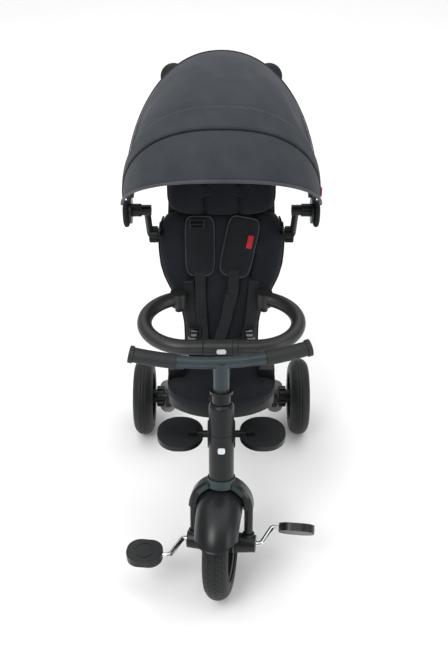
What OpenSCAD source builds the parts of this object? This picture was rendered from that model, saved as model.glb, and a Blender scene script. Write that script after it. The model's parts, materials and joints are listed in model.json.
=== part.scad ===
// Children's push tricycle: pedal front wheel, swivel seat, canopy and parent push handle.
// Z is up, the front wheel points to -Y, X is across. Lengths are millimetres, angles degrees.

/* [Wheels] */
// Radius of the front tyre
front_wheel_r = 125; // [120:1:130]
// Width of the front tyre
front_tyre_w = 50; // [44:1:52]
// Radius of the rear tyres
rear_wheel_r = 100; // [95:1:105]
// Width of each rear tyre
rear_tyre_w = 46; // [40:1:48]
// Distance from the front axle to the rear axle
wheelbase = 540; // [530:1:560]
// Distance between the middles of the rear tyres
rear_track = 414; // [410:1:430]

/* [Steering] */
// Lean of the steering axis back from vertical
rake = 16; // [14:0.5:18]
// Turn of the fork about the steering axis at rest
fork_turn = -8; // [-12:1:12]
// Turn of the handlebar about the steering axis at rest
bar_turn = 6; // [-10:1:10]
// Height of the handlebar above the front axle, along the steering axis
bar_h = 424; // [410:1:430]
// Width of the handlebar over its grips
bar_w = 380; // [360:2:400]
// How far the middle of the handlebar dips below its ends
bar_dip = 26; // [15:1:35]

/* [Pedals] */
// Radius that the pedals turn on
crank_r = 52; // [48:1:58]
// Width of a pedal
pedal_w = 80; // [74:1:84]
// Length of a pedal
pedal_l = 65; // [60:1:70]
// Thickness of a pedal
pedal_t = 18; // [14:1:20]
// Tilt of the right pedal on its spindle at rest
pedal_tilt = -55; // [-60:1:0]

/* [Seat] */
// Height of the seat cushion's top
seat_h = 302; // [296:1:306]
// Width of the seat
seat_w = 262; // [250:1:268]
// Lean of the backrest back from vertical
back_lean = 9; // [8:0.5:10]
// Height of the backrest above its hinge
back_h = 520; // [500:1:530]
// Distance of the swivel axis behind the front axle
swivel_y = 360; // [355:1:362]

/* [Bumper] */
// Width of the bumper bar over its sides
bumper_w = 386; // [376:2:390]
// Height of the bumper bar
bumper_h = 487; // [480:1:495]
// Radius of the bumper bar's padding
bumper_pad_r = 17; // [15:0.5:18]

/* [Canopy] */
// Width of the canopy
canopy_w = 430; // [420:2:436]
// Height of the canopy's bows above their pivots
canopy_r = 340; // [330:1:342]
// Angle of the canopy's front edge, forward of vertical
canopy_front_a = 53; // [48:1:56]
// Angle of the front bow, forward of vertical
front_bow_a = 36; // [34:1:38]
// Angle of the rear bow, behind vertical
rear_bow_a = 22; // [18:1:24]

/* [Push handle] */
// Lean of the push handle back from vertical
handle_lean = 12.5; // [12:0.25:13]
// Width of the handle loop
handle_w = 290; // [280:2:300]

/* [Hidden] */
$fn = 64;
fit = 0.05;
gap = 0.4;
// How far a straight bar runs into the bend that it meets
overlap = 0.5;

handle_foot = [0, wheelbase + 24, 128];
handle_top_s = 825;
loop_r = 14;
// Middle of the whole tricycle's length, where the origin lies
mid_y = (handle_foot[1] + handle_top_s * sin(handle_lean) + loop_r - front_wheel_r) / 2;
axle_r = 6;
hub_x = 30;
fork_x = 60;
crown_h = 150;
head_lo = 162;
head_hi = 334;
stem_r = 12;
steerer_r = 16;
bearing_r = 22;
head_r = 27;
rear_x = rear_track / 2;
seat_y0 = 276;
seat_y1 = 438;
back_hinge = [0, 446, 284];
link_peg = [156, -38, 356];
link_low = [156, back_hinge[1] + link_peg[1] * cos(back_lean) + link_peg[2] * sin(back_lean),
    back_hinge[2] - link_peg[1] * sin(back_lean) + link_peg[2] * cos(back_lean)];
link_high = [174, 430, 722];
swivel_z = 238;
seat_arm_x = 91;
waist_w = 176;
seat_round = 74;
bumper_arc_r = 100;
bumper_y = 334;
bumper_arc_x = bumper_w / 2 - bumper_pad_r - bumper_arc_r;
bumper_end_a = 75;
clasp_x = 38;
bumper_hinge_x = bumper_arc_x + bumper_arc_r * cos(bumper_end_a);
bumper_hinge_y = bumper_y + bumper_arc_r * sin(bumper_end_a);
head_knuckle = [0, 50, 238];

// ---------- helpers ----------

// Puts the design, which is drawn with the front axle at Y 0, round the origin
module place() {
    translate([0, -mid_y, 0])
        children();
}

// A round bar from point a to point b
module rod(a, b, r) {
    d = b - a;
    length = norm(d);
    translate(a)
        rotate([0, acos(d[2] / length), atan2(d[1], d[0])])
            cylinder(h = length, r = r);
}

// A round bar along X, centred on x
module bar_x(x, length, r) {
    translate([x - length / 2, 0, 0])
        rotate([0, 90, 0])
            cylinder(h = length, r = r);
}

// A stretch of ring about Z, from angle a0 to a1, of round section
module ring_arc(ring_r, r, a0, a1) {
    rotate([0, 0, a0])
        rotate_extrude(angle = a1 - a0, $fn = 96)
            translate([ring_r, 0])
                circle(r = r, $fn = 32);
}

// Local frame of the steering: origin at the front hub, Z up the steering axis
module on_steering(turn) {
    place()
        translate([0, 0, front_wheel_r])
            rotate([-rake, 0, 0])
                rotate([0, 0, turn])
                    children();
}

// The front hub's frame with Z upright again, turned with the fork
module on_front_hub() {
    on_steering(fork_turn)
        rotate([rake, 0, 0])
            children();
}

// Local frame of the push handle: Z up its tube
module on_handle() {
    place()
        translate(handle_foot)
            rotate([-handle_lean, 0, 0])
                children();
}

// Local frame of the backrest: origin at its hinge, Z up its face, -Y towards the child
module on_back() {
    place()
        translate(back_hinge)
            rotate([-back_lean, 0, 0])
                children();
}

// Both sides of something drawn at +X
module both_sides() {
    children();
    mirror([1, 0, 0])
        children();
}

// A rounded slab lying flat, its middle at the origin
module round_slab(w, l, t, corner) {
    translate([0, 0, -t / 2])
        linear_extrude(height = t)
            union() {
                square([w - 2 * corner, l], center = true);
                square([w, l - 2 * corner], center = true);
                for (sx = [-1, 1], sy = [-1, 1])
                    translate([sx * (w / 2 - corner), sy * (l / 2 - corner)])
                        circle(r = corner);
            }
}

// A profile (distance from the X axis, X) turned about X, from angle a0 to a1 forward of upright
module turned_about_x(a0, a1) {
    rotate([a0, 0, 0])
        rotate([0, 90, 0])
            rotate([0, 0, 180])
                rotate_extrude(angle = a1 - a0, $fn = 96)
                    children();
}

// Tyre on the X axis: a round carcass closed by flat beads on the rim
module tyre(r, w) {
    bead_r = r - 0.8 * w;
    rotate([0, 90, 0])
        rotate_extrude($fn = 96)
            intersection() {
                translate([r - w / 2, 0])
                    circle(r = w / 2);
                translate([bead_r, -w / 2])
                    square([w, w]);
            }
}

// Spoked wheel on the X axis, with a bore for its axle
module rim(r, w, hub_r, hub_w, spokes) {
    outer = r - 0.8 * w;
    rotate([0, 90, 0])
        difference() {
            union() {
                difference() {
                    cylinder(h = 0.78 * w, r = outer, center = true);
                    cylinder(h = w, r = outer - 7, center = true);
                }
                cylinder(h = hub_w, r = hub_r, center = true);
                for (i = [0:spokes - 1])
                    rotate([0, 0, i * 360 / spokes])
                        translate([hub_r - 4, -6, -5])
                            cube([outer - hub_r, 12, 10]);
            }
            cylinder(h = hub_w + 2, r = axle_r + fit, center = true);
        }
}

// ---------- frame ----------

tube_r = 20;
tube_top = [0, 85, 314];
tube_knee = [0, 215, 182];
tube_end = [0, wheelbase - 2, rear_wheel_r + 6];
tube_bend_r = 140;
tube_a0 = atan2(tube_knee[2] - tube_top[2], tube_knee[1] - tube_top[1]);
tube_a1 = atan2(tube_end[2] - tube_knee[2], tube_end[1] - tube_knee[1]);
tube_bend_l = tube_bend_r * tan((tube_a1 - tube_a0) / 2);
bend_start = tube_knee - tube_bend_l * [0, cos(tube_a0), sin(tube_a0)];
bend_end = tube_knee + tube_bend_l * [0, cos(tube_a1), sin(tube_a1)];

// The head's outside: a sleeve with a rounded top, a block behind it and a knuckle for the footrests
module head_body() {
    on_steering(0) {
        translate([0, 0, head_lo])
            rotate_extrude()
                polygon(concat(
                    [[0, 0], [head_r, 0], [head_r, head_hi - head_lo - 9]],
                    [for (a = [15:15:90]) [head_r - 9 + 9 * cos(a),
                        head_hi - head_lo - 9 + 9 * sin(a)]],
                    [[0, head_hi - head_lo]]));
        translate([-24, 6, head_lo + 14])
            cube([48, 40, 132]);
        translate(head_knuckle)
            bar_x(0, 60, 30);
    }
}

// One main tube: down from the head, a gentle bend, then back to the rear beam
module main_tube() {
    along = [0, cos(tube_a0), sin(tube_a0)];
    back = [0, cos(tube_a1), sin(tube_a1)];
    color("#1d2123") {
        difference() {
            place()
                rod(tube_top, bend_start + overlap * along, tube_r - 0.1);
            head_body();
        }
        place() {
            translate(bend_start + tube_bend_r * [0, -sin(tube_a0), cos(tube_a0)])
                rotate([90, 0, 90])
                    ring_arc(tube_bend_r, tube_r, tube_a0 - 90, tube_a1 - 90);
            difference() {
                rod(bend_end - overlap * back, tube_end, tube_r - 0.1);
                translate([0, wheelbase, rear_wheel_r])
                    bar_x(0, 120, 15);
            }
        }
    }
}

module rear_beam() {
    color("#3c4143")
        place()
            translate([0, wheelbase, rear_wheel_r])
                difference() {
                    bar_x(0, 232, 15);
                    bar_x(0, 240, axle_r);
                }
}

module rear_axle() {
    color("silver")
        place()
            translate([0, wheelbase, rear_wheel_r]) {
                bar_x(0, 2 * rear_x + 42, axle_r);
                both_sides()
                    bar_x(rear_x + 19.4, 4, 11);
            }
}

module axle_sleeves() {
    color("#181a1c")
        place()
            translate([0, wheelbase, rear_wheel_r])
                both_sides()
                    difference() {
                        union() {
                            bar_x(134, 36, 18);
                            translate([137, -8, -32])
                                cube([14, 16, 18]);
                        }
                        bar_x(134, 60, axle_r);
                    }
}

module head_housing() {
    color("#15181a")
        difference() {
            head_body();
            on_steering(0) {
                translate([0, 0, head_lo - 1])
                    cylinder(h = head_hi - head_lo + 2, r = bearing_r);
                translate([0, -head_r + 3, 234])
                    rotate([90, 0, 0])
                        round_slab(16, 14, 10, 4.4);
                translate(head_knuckle)
                    bar_x(0, 70, 8);
            }
        }
}

module head_bearings() {
    color("silver")
        on_steering(0)
            for (h = [head_lo + 4, head_hi - 22])
                translate([0, 0, h])
                    difference() {
                        cylinder(h = 14, r = bearing_r);
                        translate([0, 0, -1])
                            cylinder(h = 16, r = steerer_r + fit);
                    }
}

module seat_post() {
    post_z = 146;
    color("#24282a")
        place()
            translate([0, swivel_y, 0])
                difference() {
                    union() {
                        translate([0, 0, post_z])
                            cylinder(h = swivel_z - 10 - post_z, r = 24);
                        translate([0, 0, swivel_z - 10])
                            cylinder(h = 9.6, r = 62);
                    }
                    translate([0, 0, swivel_z - 34])
                        cylinder(h = 60, r = 14 + fit);
                    translate([0, -swivel_y, 0])
                        rod(bend_end, tube_end, tube_r);
                }
}

module handle_socket() {
    color("#181a1c")
        difference() {
            on_handle()
                difference() {
                    union() {
                        cylinder(h = 92, r = 22);
                        translate([-16, -36, -12])
                            cube([32, 36, 34]);
                    }
                    translate([0, 0, 12])
                        cylinder(h = 100, r = 16);
                }
            place() {
                translate([0, wheelbase, rear_wheel_r])
                    bar_x(0, 60, 15);
                rod(bend_end, tube_end, tube_r);
            }
        }
}

module handle_outer_tube() {
    color("#1d2123")
        on_handle()
            difference() {
                union() {
                    translate([0, 0, 12])
                        cylinder(h = 508, r = 16);
                    translate([0, 0, 478])
                        cylinder(h = 44, r = 25);
                }
                translate([0, 0, 16])
                    cylinder(h = 520, r = 13 + fit);
                translate([-8, 17, 492])
                    cube([16, 12, 16]);
            }
}

// ---------- steering ----------

arch_in = fork_x - 10.5;
arch_out = fork_x + 10.5;
arch_half = 18;

// Arch over the tyre, from one leg to the other, with cut edges
module crown_arch() {
    cut = 5;
    translate([0, 0, crown_h - fork_x + 0.5])
        rotate([90, 0, 0])
            rotate_extrude(angle = 180)
                polygon([
                    [arch_in, cut - arch_half], [arch_in + cut, -arch_half],
                    [arch_out - cut, -arch_half], [arch_out, cut - arch_half],
                    [arch_out, arch_half - cut], [arch_out - cut, arch_half],
                    [arch_in + cut, arch_half], [arch_in, arch_half - cut]]);
}

module fork() {
    color("#1a1d1f")
        on_steering(fork_turn) {
            difference() {
                union() {
                    translate([0, 0, crown_h - 10])
                        cylinder(h = 20, r = 25);
                    crown_arch();
                }
                translate([0, 0, crown_h - 20])
                    cylinder(h = 40, r = steerer_r);
            }
            both_sides()
                translate([fork_x, 0, 14])
                    cylinder(h = crown_h - fork_x - 13, r = 9.5);
        }
}

// The band round the crown, and a plate on the front of each shoulder
module crown_band() {
    plate_a = 36;
    plate_sweep = 29;
    color("#4a5457")
        on_steering(fork_turn) {
            difference() {
                translate([0, 0, crown_h - 9])
                    cylinder(h = 20, r = 30);
                translate([0, 0, crown_h - 10])
                    cylinder(h = 22, r = 25);
                crown_arch();
            }
            both_sides()
                translate([0, 0, crown_h - fork_x + 0.5])
                    rotate([90, 0, 0])
                        rotate([0, 0, plate_a])
                            rotate_extrude(angle = plate_sweep)
                                translate([arch_in + 5.5, arch_half])
                                    square([arch_out - arch_in - 11, 2]);
        }
}

module steerer_tube() {
    color("silver")
        on_steering(fork_turn)
            translate([0, 0, crown_h - 10])
                difference() {
                    cylinder(h = 188, r = steerer_r);
                    translate([0, 0, -1])
                        cylinder(h = 200, r = stem_r + fit);
                }
}

// Cowl over the tyre, turned about the wheel's axle
module mudguard() {
    half_w = 47;
    shell_r = 137;
    color("#25292b")
        on_steering(fork_turn)
            turned_about_x(-48, 72)
                difference() {
                    polygon([for (a = [-90:10:90])
                        [shell_r - 38 + 38 * cos(a), half_w * sin(a)]]);
                    polygon([for (a = [-90:10:90])
                        [shell_r - 39 + 36 * cos(a), (half_w - 2.5) * sin(a)]]);
                    translate([shell_r - 60, -half_w])
                        square([22, 2 * half_w]);
                }
}

module fork_end_covers() {
    color("#17191b")
        on_steering(fork_turn)
            both_sides()
                difference() {
                    union() {
                        translate([hub_x, 0, 0])
                            rotate([0, 90, 0])
                                cylinder(h = 46, r1 = 23, r2 = 19);
                        translate([fork_x, 0, 0])
                            cylinder(h = 26, r = 13);
                    }
                    bar_x(fork_x, 80, axle_r + fit);
                    translate([fork_x, 0, 14])
                        cylinder(h = 20, r = 9.5);
                }
}

module front_tyre() {
    color("#1c1e1f")
        on_front_hub()
            tyre(front_wheel_r, front_tyre_w);
}

module front_rim() {
    color("#202426")
        on_front_hub()
            rim(front_wheel_r, front_tyre_w, 24, 54, 6);
}

// ---------- pedals ----------

// The bent rod's corners, drawn in the plane of its cranks
crank_bend_x = 88;
spindle_x = 108;
crank_tip_x = 198;
crank_bend_r = 10;
crank_a = atan2(crank_r, spindle_x - crank_bend_x);
crank_run = crank_bend_r * tan(crank_a / 2);
crank_dir = [cos(crank_a), sin(crank_a), 0];

// One half of the crankshaft, on the right and turned back
module crank_half() {
    rod_r = axle_r - overlap / 10;
    rod([-1, 0, 0], [crank_bend_x - crank_run + overlap, 0, 0], rod_r);
    translate([crank_bend_x - crank_run, crank_bend_r, 0])
        ring_arc(crank_bend_r, axle_r, -90, crank_a - 90);
    rod([crank_bend_x, 0, 0] + (crank_run - overlap) * crank_dir,
        [spindle_x, crank_r, 0] - (crank_run - overlap) * crank_dir, rod_r);
    translate([spindle_x + crank_run, crank_r - crank_bend_r, 0])
        ring_arc(crank_bend_r, axle_r, 90, crank_a + 90);
    rod([spindle_x + crank_run - overlap, crank_r, 0], [crank_tip_x, crank_r, 0], axle_r - 1);
}

module crankshaft() {
    color("silver")
        on_front_hub() {
            crank_half();
            rotate([0, 0, 180])
                crank_half();
        }
}

// One pedal: side is -1 on the left and 1 on the right
module pedal(side, tilt) {
    color("#1b1d1f")
        on_front_hub()
            translate([side * 163, side * crank_r, 0])
                rotate([tilt, 0, 0])
                    difference() {
                        round_slab(pedal_w, pedal_l, pedal_t, 29);
                        bar_x(0, pedal_w + 10, axle_r - 1 + fit);
                        translate([0, 0, pedal_t / 2 - 1])
                            difference() {
                                cylinder(h = 2, r = 21);
                                translate([0, 0, -1])
                                    cylinder(h = 4, r = 19);
                            }
                    }
}

module pedal_left() {
    pedal(-1, 0);
}

module pedal_right() {
    pedal(1, pedal_tilt);
}

// ---------- handlebar ----------

bar_arc_r = (pow(bar_w / 2, 2) + pow(bar_dip, 2)) / (2 * bar_dip);
grip_a = asin(94 / bar_arc_r);
bar_end_a = asin((bar_w / 2 - 5) / bar_arc_r);

// Frame of the handlebar's arc: its centre is above and behind, in a plane that leans back
module on_bar() {
    on_steering(bar_turn)
        translate([0, 0, bar_h])
            rotate([-36, 0, 0])
                translate([0, 0, bar_arc_r])
                    rotate([90, 0, 0])
                        rotate([0, 0, -90])
                            children();
}

module handlebar_tube() {
    color("#434d50")
        on_bar()
            ring_arc(bar_arc_r, 13, -bar_end_a, bar_end_a);
}

module handlebar_stem() {
    color("#434d50")
        difference() {
            on_steering(bar_turn) {
                translate([0, 0, 190])
                    cylinder(h = bar_h - 200, r = stem_r);
                difference() {
                    translate([0, 0, 362])
                        cylinder(h = bar_h - 362, r = 16.5);
                    translate([0, 0, 361])
                        cylinder(h = bar_h - 372, r = stem_r);
                }
            }
            on_bar()
                ring_arc(bar_arc_r, 13, -6, 6);
        }
}

module stem_sleeve() {
    color("#141718")
        on_steering(bar_turn)
            difference() {
                union() {
                    translate([0, 0, head_hi + gap])
                        cylinder(h = 22, r = 19.5);
                    translate([0, 0, head_hi + 22])
                        cylinder(h = 6, r = 24.5);
                }
                translate([0, 0, head_hi])
                    cylinder(h = 40, r = stem_r);
            }
}

// One grip: a sleeve on the bar with a flared end
module grip(a0, a1, flare_a) {
    color("#2b2e30")
        on_bar() {
            difference() {
                ring_arc(bar_arc_r, 16, a0, a1);
                ring_arc(bar_arc_r, 13, -bar_end_a, bar_end_a);
            }
            difference() {
                ring_arc(bar_arc_r, 18.5, flare_a - 0.35, flare_a + 0.35);
                ring_arc(bar_arc_r, 13, -bar_end_a, bar_end_a);
            }
        }
}

module grip_left() {
    grip(-bar_end_a - 0.4, -grip_a, -bar_end_a);
}

module grip_right() {
    grip(grip_a, bar_end_a + 0.4, bar_end_a);
}

module steering_button() {
    color("white")
        on_steering(0)
            translate([0, -head_r + 1.1, 234])
                rotate([90, 0, 0])
                    round_slab(15.2, 13.2, 5.4, 4);
}

// ---------- rear wheels ----------

module on_rear_wheel(side) {
    place()
        translate([side * rear_x, wheelbase, rear_wheel_r])
            children();
}

module rear_rim(side) {
    color("#202426")
        on_rear_wheel(side)
            rim(rear_wheel_r, rear_tyre_w, 20, 34, 5);
}

// Ribbed release knob on the inner side of a rear wheel
module hub_knob(side) {
    ribs = 12;
    color("#101213")
        on_rear_wheel(side)
            translate([-side * 43, 0, 0])
                difference() {
                    union() {
                        bar_x(0, 20, 24);
                        bar_x(side * 18, 16, 18);
                        for (i = [0:ribs - 1])
                            rotate([i * 360 / ribs, 0, 0])
                                translate([-9, -4, 20])
                                    cube([18, 8, 8]);
                    }
                    bar_x(0, 60, axle_r + fit);
                }
}

module rear_tyre_left() {
    color("#1c1e1f")
        on_rear_wheel(-1)
            tyre(rear_wheel_r, rear_tyre_w);
}

module rear_tyre_right() {
    color("#1c1e1f")
        on_rear_wheel(1)
            tyre(rear_wheel_r, rear_tyre_w);
}

module rear_rim_left() {
    rear_rim(-1);
}

module rear_rim_right() {
    rear_rim(1);
}

module hub_knob_left() {
    hub_knob(-1);
}

module hub_knob_right() {
    hub_knob(1);
}

// Parking brake pedal behind the axle, turning on the axle's sleeve
module brake_pedal(side) {
    plate_y = 28;
    plate_z = -22;
    color("#a8aaa8")
        place()
            translate([0, wheelbase, rear_wheel_r])
                difference() {
                    union() {
                        bar_x(side * 127, 14, 24);
                        translate([side * 127 - 7, 8, -26])
                            cube([14, 22, 14]);
                        translate([side * 146, plate_y, plate_z])
                            rotate([52, 0, 0])
                                round_slab(44, 88, 7, 20);
                    }
                    bar_x(side * 127, 40, 18 + fit);
                }
}

module brake_pedal_left() {
    brake_pedal(-1);
}

module brake_pedal_right() {
    brake_pedal(1);
}

// ---------- footrests ----------

// Folding footrest: its rod turns in the head housing
module footrest(side) {
    color("#191c1e")
        on_steering(0)
            translate(head_knuckle) {
                bar_x(side * 36, 68, 8 - fit);
                rotate([rake, 0, 0]) {
                    translate([side * 90, 0, 0])
                        round_slab(100, 101, 12, 46);
                    translate([side * 63, 0, 9])
                        cube([20, 22, 8], center = true);
                }
            }
}

module footrest_left() {
    footrest(-1);
}

module footrest_right() {
    footrest(1);
}

// ---------- seat ----------

module swivel_plate() {
    color("#2a2e30")
        place()
            translate([0, swivel_y, 0]) {
                translate([0, 0, swivel_z])
                    cylinder(h = 8, r = 66);
                translate([0, 0, swivel_z - 30])
                    cylinder(h = 32, r = 14);
            }
}

// Outline of the seat from above, with a broad round front
module seat_outline(inset) {
    w = seat_w / 2 - inset;
    hull() {
        translate([0, seat_y0 + seat_round])
            scale([w / seat_round, (seat_round - inset) / seat_round])
                circle(r = seat_round);
        translate([-w, seat_y1 - 26])
            square([2 * w, 20 - inset]);
    }
}

module seat_shell() {
    color("#1a1c1e")
        place() {
            translate([0, 0, swivel_z + 8])
                linear_extrude(height = 26)
                    seat_outline(2);
            both_sides()
                translate([seat_arm_x, seat_y1 - 72, swivel_z + 20])
                    cube([seat_w / 2 - 2 - seat_arm_x, 66, 66]);
            // Lugs that carry the backrest's hinge pin
            both_sides()
                difference() {
                    translate([98, seat_y1 - 14, swivel_z + 24])
                        cube([8, 34, 36]);
                    translate([0, back_hinge[1], back_hinge[2]])
                        bar_x(102, 20, 5 + fit);
                }
        }
}

module seat_pad() {
    color("#20242c")
        place()
            translate([0, 0, swivel_z + 34.3])
                linear_extrude(height = seat_h - swivel_z - 34.3)
                    intersection() {
                        seat_outline(4);
                        union() {
                            square([2 * seat_arm_x - 1, 2000], center = true);
                            translate([-seat_w, 0])
                                square([2 * seat_w, seat_y1 - 72.5]);
                        }
                    }
}

module crotch_strap() {
    color("#22262c")
        place()
            difference() {
                translate([-13, 320, seat_h + 0.3])
                    rotate([24, 0, 0])
                        cube([26, 4, 70]);
                translate([-50, 0, seat_h - 60])
                    cube([100, 800, 60.3]);
            }
}

module buckle() {
    color("#15171a")
        place()
            translate([-22, 284, seat_h + 62])
                rotate([24, 0, 0])
                    difference() {
                        cube([44, 14, 46]);
                        translate([14, -2, 14])
                            cube([16, 10, 18]);
                    }
}

module buckle_button() {
    color("#30343a")
        place()
            translate([-22, 284, seat_h + 62])
                rotate([24, 0, 0])
                    translate([14.4, -1.6, 14.4])
                        cube([15.2, 5.6, 17.2]);
}

module swivel_lever() {
    color("#101213")
        place()
            translate([0, seat_y0 + 3, swivel_z + 3.6])
                round_slab(46, 26, 7, 8);
}

// Arms from the backrest to the bumper bar's hinges
module bumper_arms(r) {
    arm_h = bumper_h - 26.5;
    both_sides()
        rod([bumper_hinge_x, bumper_hinge_y, arm_h],
            [bumper_hinge_x - 16, bumper_hinge_y + 56, arm_h], r);
}

module bumper_brackets() {
    color("#17191b")
        place() {
            bumper_arms(6);
            both_sides() {
                translate([bumper_hinge_x, bumper_hinge_y, bumper_h - 34])
                    cylinder(h = 15.6, r = 9);
                translate([bumper_hinge_x, bumper_hinge_y, bumper_h - 30])
                    cylinder(h = 44, r = 5);
            }
        }
}

// ---------- backrest ----------

// Outline of the backrest in X and Z: narrow waist, wide shoulders, headrest on top
module back_outline(inset) {
    waist = waist_w / 2 - inset;
    translate([-waist, 22])
        square([2 * waist, 118]);
    hull() {
        translate([-waist, 138])
            square([2 * waist, 10]);
        translate([-waist - 14, 205])
            square([2 * waist + 28, 4]);
        for (side = [-1, 1])
            translate([side * (92 - inset), 320])
                circle(r = 54);
    }
    hull() {
        for (side = [-1, 1]) {
            translate([side * (70 - inset), 340])
                circle(r = 60);
            translate([side * (74 - inset), back_h - 54])
                circle(r = 50);
        }
    }
}

module back_slab(y0, t, inset) {
    on_back()
        translate([0, y0 + t, 0])
            rotate([90, 0, 0])
                linear_extrude(height = t)
                    back_outline(inset);
}

module backrest_shell() {
    arm_x = 145.6;
    color("#17191b") {
        difference() {
            back_slab(2, 14, 3);
            place()
                bumper_arms(6);
        }
        on_back() {
            both_sides() {
                translate([104, 2, link_peg[2] - 12])
                    cube([arm_x - 104, 14, 24]);
                translate([arm_x - 4.5, link_peg[1] - 10, link_peg[2] - 10])
                    cube([4.5, 26 - link_peg[1], 20]);
                translate([0, link_peg[1], link_peg[2]])
                    bar_x((arm_x + 166) / 2 - 1, 168 - arm_x, axle_r);
            }
            bar_x(0, 2 * 92, 9);
            bar_x(0, 2 * 107, 5);
            translate([-30, 3, -6])
                cube([60, 12, 34]);
        }
    }
}

module back_pad() {
    color("#20242c")
        difference() {
            back_slab(-24, 25.7, 0);
            on_back()
                translate([-200, -60, 396])
                    cube([400, 100, 200]);
            place()
                bumper_arms(6 + fit);
        }
}

module headrest_pad() {
    color("#1a1e26")
        difference() {
            back_slab(-34, 35.7, -2);
            on_back()
                translate([-200, -60, -10])
                    cube([400, 100, 406.6]);
        }
}

module shoulder_pads() {
    color("#22262e")
        on_back()
            for (side = [-1, 1])
                translate([side * 44, -33, 320])
                    rotate([90, side * 10, 0])
                        round_slab(58, 118, 12, 22);
}

module shoulder_straps() {
    color("#22262e")
        on_back()
            both_sides()
                difference() {
                    translate([22, -30, 60])
                        rotate([0, -3, 0])
                            cube([24, 3, 330]);
                    translate([0, -60, 255])
                        cube([100, 60, 160]);
                }
}

// ---------- bumper ----------

// Side arc of the bumper bar with its hinge knuckle, drawn on the right
module bumper_side() {
    difference() {
        union() {
            translate([bumper_arc_x, bumper_y, bumper_h])
                ring_arc(bumper_arc_r, bumper_pad_r, -90, bumper_end_a);
            translate([bumper_hinge_x, bumper_hinge_y, bumper_h - 18])
                cylinder(h = 36, r = 19);
        }
        translate([bumper_hinge_x, bumper_hinge_y, bumper_h - 20])
            cylinder(h = 37, r = 5 + fit);
    }
}

module bumper_left() {
    color("#2a2c2c")
        place() {
            mirror([1, 0, 0])
                bumper_side();
            translate([0, bumper_y - bumper_arc_r, bumper_h])
                bar_x(-(bumper_arc_x + clasp_x) / 2, bumper_arc_x - clasp_x, bumper_pad_r);
        }
}

module bumper_right() {
    color("#2a2c2c")
        place() {
            bumper_side();
            translate([0, bumper_y - bumper_arc_r, bumper_h])
                difference() {
                    union() {
                        bar_x((bumper_arc_x - clasp_x) / 2 + gap / 2, bumper_arc_x + clasp_x - gap,
                            bumper_pad_r);
                        bar_x(0, 2 * clasp_x - 2 * gap, bumper_pad_r + 1);
                    }
                    translate([0, -bumper_pad_r + 1.5, 0])
                        rotate([90, 0, 0])
                            round_slab(22, 12, 9, 5.5);
                }
        }
}

module bumper_button() {
    color("white")
        place()
            translate([0, bumper_y - bumper_arc_r - bumper_pad_r + 0.1, bumper_h])
                rotate([90, 0, 0])
                    round_slab(21.2, 11.2, 5, 5.1);
}

// ---------- canopy ----------

// Outline of a bow: (height above the pivots, X), set in from the canopy's own outline
function bow_points(inset) = [for (i = [-15:15])
    let (x = (canopy_w / 2 - inset) * sin(i * 6),
        rise = 1 - pow(abs(sin(i * 6)), 2.4))
    [(canopy_r - inset) * pow(max(rise, 0), 1 / 2.4), x]];

// A shell, or a bow, between two angles forward of vertical
module canopy_band(inset, wall, clear_r, a0, a1) {
    place()
        translate([0, link_high[1], link_high[2]])
            turned_about_x(a0, a1)
                difference() {
                    polygon(bow_points(inset));
                    polygon(bow_points(inset + wall));
                    translate([-1, -canopy_w])
                        square([clear_r + 1, 2 * canopy_w]);
                }
}

module canopy_links() {
    ribs = 10;
    color("#131517")
        place()
            both_sides() {
                difference() {
                    union() {
                        translate([0, link_low[1], link_low[2]]) {
                            bar_x(link_low[0], 20, 17);
                            for (i = [0:ribs - 1])
                                rotate([i * 360 / ribs, 0, 0])
                                    translate([link_low[0] - 9, -3, 14])
                                        cube([18, 6, 5]);
                        }
                        translate([0, link_high[1], link_high[2]])
                            bar_x(link_high[0], 36, 12);
                        rod([164, link_low[1], link_low[2]], [166, link_high[1], link_high[2]], 7.5);
                    }
                    translate([0, link_low[1], link_low[2]])
                        bar_x(link_low[0], 60, axle_r + fit);
                    translate([0, link_high[1], link_high[2]])
                        bar_x(link_high[0], 80, axle_r + fit);
                }
            }
}

module rear_bow() {
    color("#2a2d30") {
        canopy_band(3, 7, 23, -rear_bow_a, -rear_bow_a + 1.6);
        place()
            translate([0, link_high[1], link_high[2]])
                both_sides() {
                    bar_x(209.8, 4.4, 30);
                    bar_x(183, 50, axle_r);
                }
    }
}

module canopy_rear() {
    color("#45484f")
        canopy_band(0, 3, 34, -rear_bow_a, 14);
}

module front_bow() {
    color("#2a2d30") {
        canopy_band(8, 7, 23, front_bow_a, front_bow_a + 1.6);
        place()
            translate([0, link_high[1], link_high[2]])
                both_sides()
                    difference() {
                        bar_x(201.4, 4.8, 30);
                        bar_x(201.4, 20, axle_r + fit);
                    }
    }
}

module canopy_front() {
    color("#45484f")
        canopy_band(5, 3, 34, 14.5, canopy_front_a);
}

// ---------- push handle ----------

loop_corner_r = 18;
loop_corner_x = handle_w / 2 - loop_r - loop_corner_r;
loop_corner_s = handle_top_s - loop_corner_r;
loop_dip_a = 16;
loop_side_a = 32;
// The top bar sags in one arc that runs smoothly into both corners
loop_top_r = loop_corner_x / sin(loop_dip_a) - loop_corner_r;
loop_top_s = loop_corner_s + (loop_corner_r + loop_top_r) * cos(loop_dip_a);
loop_side_x = loop_corner_x + loop_corner_r * cos(loop_side_a);
loop_side_s = loop_corner_s - loop_corner_r * sin(loop_side_a);
loop_foot_s = loop_side_s - loop_side_x / tan(loop_side_a);

module handle_inner_tube() {
    color("silver")
        on_handle()
            translate([0, 0, 200])
                cylinder(h = loop_foot_s - 225, r = 13);
}

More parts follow.
